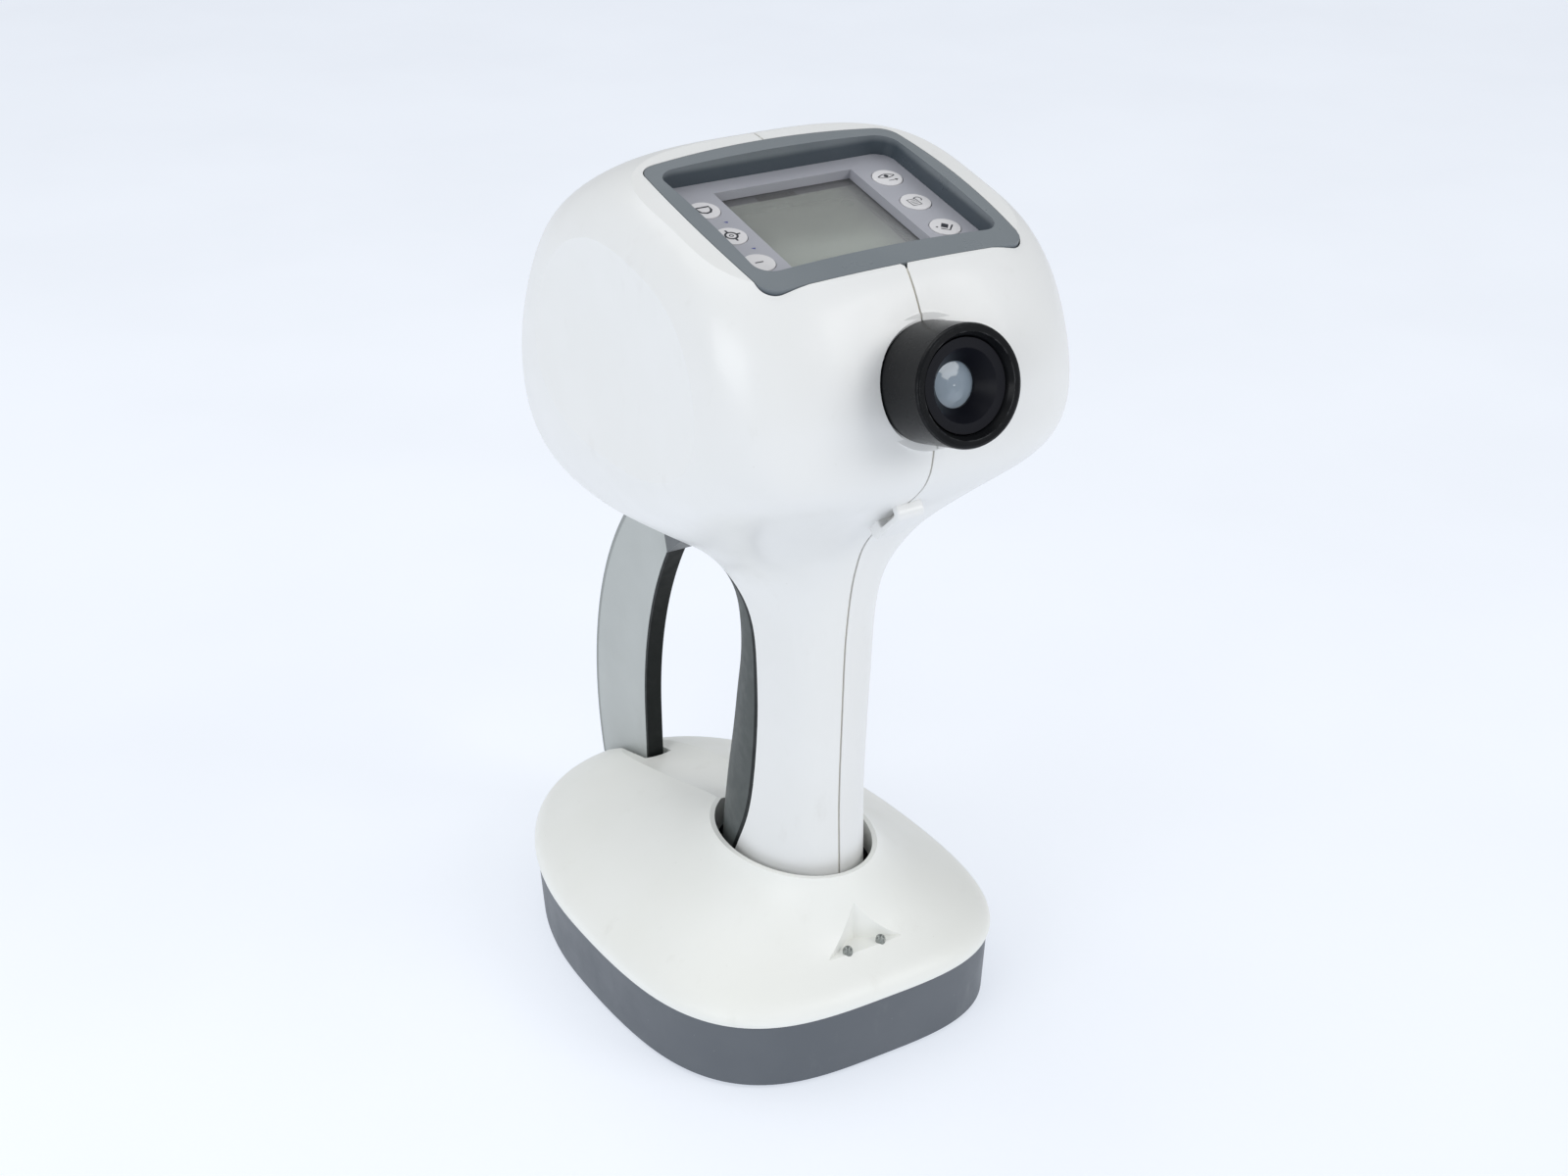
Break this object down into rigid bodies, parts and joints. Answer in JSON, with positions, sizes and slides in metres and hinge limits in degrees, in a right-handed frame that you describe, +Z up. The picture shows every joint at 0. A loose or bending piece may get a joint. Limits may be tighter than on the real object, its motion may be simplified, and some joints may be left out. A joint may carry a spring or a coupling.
{
  "type": "handheld tonometer with charging stand",
  "caption": "Handheld air-puff eye pressure meter with eyepiece, tilted display and hand guard, standing in its charging stand.",
  "frame": {"origin": "on the table under the middle of the bounding box, x = 0 being the seam plane", "axes": "+Z up, +Y towards the patient, so the operator and the eyepiece are at -Y and X runs across"},
  "size_m": [0.1306, 0.2316, 0.2879],
  "materials": {
    "white_shell": "fine satin moulded",
    "cover_white": "fine satin moulded",
    "grip_rubber": "matt soft-touch",
    "black_trim": "matt",
    "bezel_grey": "satin",
    "panel_grey": "satin film",
    "key_white": "satin",
    "window_clear": "clear acrylic",
    "lcd_module": "grey-green display face",
    "ring_black": "polished black",
    "cell_black": "matt black",
    "lens_glass": "coated glass",
    "barrel_aluminium": "dark anodised",
    "nozzle_steel": "turned",
    "pump_aluminium": "machined",
    "piston_plastic": "moulded",
    "steel": "plain",
    "spring_steel": "drawn wire",
    "coil_copper": "enamelled wire",
    "pipe_rubber": "matt",
    "board_green": "solder mask",
    "battery_blue": "shrink sleeve",
    "guard_grey": "satin",
    "bracket_grey": "matt",
    "stand_grey": "fine texture",
    "well_grey": "fine texture",
    "foot_rubber": "matt",
    "ballast_steel": "black paint",
    "contact_gold": "gold plated",
    "light_lens": "clear diffuser",
    "inlet_black": "moulded",
    "gasket_grey": "matt"
  },
  "bodies": {
    "stand": {"stand_cover": "cover_white", "stand_housing": "stand_grey", "guard_socket": "well_grey", "bottom_plate": "well_grey", "stand_screws": "steel", "rubber_feet": "foot_rubber", "ballast": "ballast_steel", "handle_well": "well_grey", "charger_board": "board_green", "pin_sleeves": "contact_gold", "power_inlet": "inlet_black", "status_light_left": "light_lens", "status_light_right": "light_lens"},
    "instrument": {"left_shell": "white_shell", "right_shell": "white_shell", "shell_screws": "steel", "shell_gasket": "gasket_grey", "grip": "grip_rubber", "grip_trim": "black_trim", "handle_end_cap": "white_shell", "handle_contacts": "contact_gold", "battery_pack": "battery_blue", "guard_bracket": "bracket_grey", "guard_plate": "guard_grey", "guard_edging": "black_trim", "strap_lug": "white_shell", "display_bezel": "bezel_grey", "key_panel": "panel_grey", "display_window": "window_clear", "display_module": "lcd_module", "key_boards": "board_green", "main_board": "board_green", "eyepiece_barrel": "barrel_aluminium", "optical_tube": "barrel_aluminium", "beam_splitter": "lens_glass", "plenum_chamber": "pump_aluminium", "plenum_window": "lens_glass", "objective_lens": "lens_glass", "air_nozzle": "nozzle_steel", "nozzle_housing": "ring_black", "front_window": "lens_glass", "pressure_sensor": "inlet_black", "pump_cylinder": "pump_aluminium", "return_spring": "spring_steel", "solenoid_frame": "steel", "solenoid_coil": "coil_copper", "air_pipe": "pipe_rubber"},
    "focus_ring": {"focus_ring": "ring_black"},
    "ocular": {"ocular_cell": "cell_black", "ocular_lens": "lens_glass"},
    "pump_piston": {"pump_piston": "piston_plastic", "pump_plunger": "steel"},
    "charge_pin_left": {"charge_pin_left": "contact_gold"},
    "charge_pin_right": {"charge_pin_right": "contact_gold"},
    "key_left_upper": {"key_left_upper": "key_white"},
    "key_left_middle": {"key_left_middle": "key_white"},
    "key_left_lower": {"key_left_lower": "key_white"},
    "key_right_upper": {"key_right_upper": "key_white"},
    "key_right_middle": {"key_right_middle": "key_white"},
    "key_right_lower": {"key_right_lower": "key_white"}
  },
  "joints": [
    {"name": "instrument_lift", "type": "slide", "parent": "stand", "child": "instrument", "axis": [0, 0, 1], "range_m": [0, 0.075]},
    {"name": "focus_turn", "type": "hinge", "parent": "instrument", "child": "focus_ring", "pos_m": [0, -0.1119, 0.2435], "axis": [0, 0.9711, -0.2385], "range_deg": [-60, 60]},
    {"name": "ocular_focus", "type": "slide", "parent": "instrument", "child": "ocular", "axis": [0, 0.9711, -0.2385], "range_m": [-0.0015, 0.0015]},
    {"name": "pump_stroke", "type": "slide", "parent": "instrument", "child": "pump_piston", "axis": [0, 0, 1], "range_m": [0, 0.01], "stiffness_N_per_m": 150, "springref_m": -0.004, "deforming": ["return_spring"]},
    {"name": "key_left_upper_press", "type": "slide", "parent": "instrument", "child": "key_left_upper", "axis": [0, 0.2385, -0.9711], "range_m": [0, 0.0005], "stiffness_N_per_m": 800, "springref_m": -0.0005},
    {"name": "key_left_middle_press", "type": "slide", "parent": "instrument", "child": "key_left_middle", "axis": [0, 0.2385, -0.9711], "range_m": [0, 0.0005], "stiffness_N_per_m": 800, "springref_m": -0.0005},
    {"name": "key_left_lower_press", "type": "slide", "parent": "instrument", "child": "key_left_lower", "axis": [0, 0.2385, -0.9711], "range_m": [0, 0.0005], "stiffness_N_per_m": 800, "springref_m": -0.0005},
    {"name": "key_right_upper_press", "type": "slide", "parent": "instrument", "child": "key_right_upper", "axis": [0, 0.2385, -0.9711], "range_m": [0, 0.0005], "stiffness_N_per_m": 800, "springref_m": -0.0005},
    {"name": "key_right_middle_press", "type": "slide", "parent": "instrument", "child": "key_right_middle", "axis": [0, 0.2385, -0.9711], "range_m": [0, 0.0005], "stiffness_N_per_m": 800, "springref_m": -0.0005},
    {"name": "key_right_lower_press", "type": "slide", "parent": "instrument", "child": "key_right_lower", "axis": [0, 0.2385, -0.9711], "range_m": [0, 0.0005], "stiffness_N_per_m": 800, "springref_m": -0.0005},
    {"name": "charge_pin_left_press", "type": "slide", "parent": "stand", "child": "charge_pin_left", "axis": [0, 0, -1], "range_m": [0, 0.001], "stiffness_N_per_m": 400, "springref_m": -0.001},
    {"name": "charge_pin_right_press", "type": "slide", "parent": "stand", "child": "charge_pin_right", "axis": [0, 0, -1], "range_m": [0, 0.001], "stiffness_N_per_m": 400, "springref_m": -0.001}
  ],
  "couplings": [
    {"joint": "ocular_focus", "follows": "focus_turn", "m_per_rad": 0.001432}
  ]
}
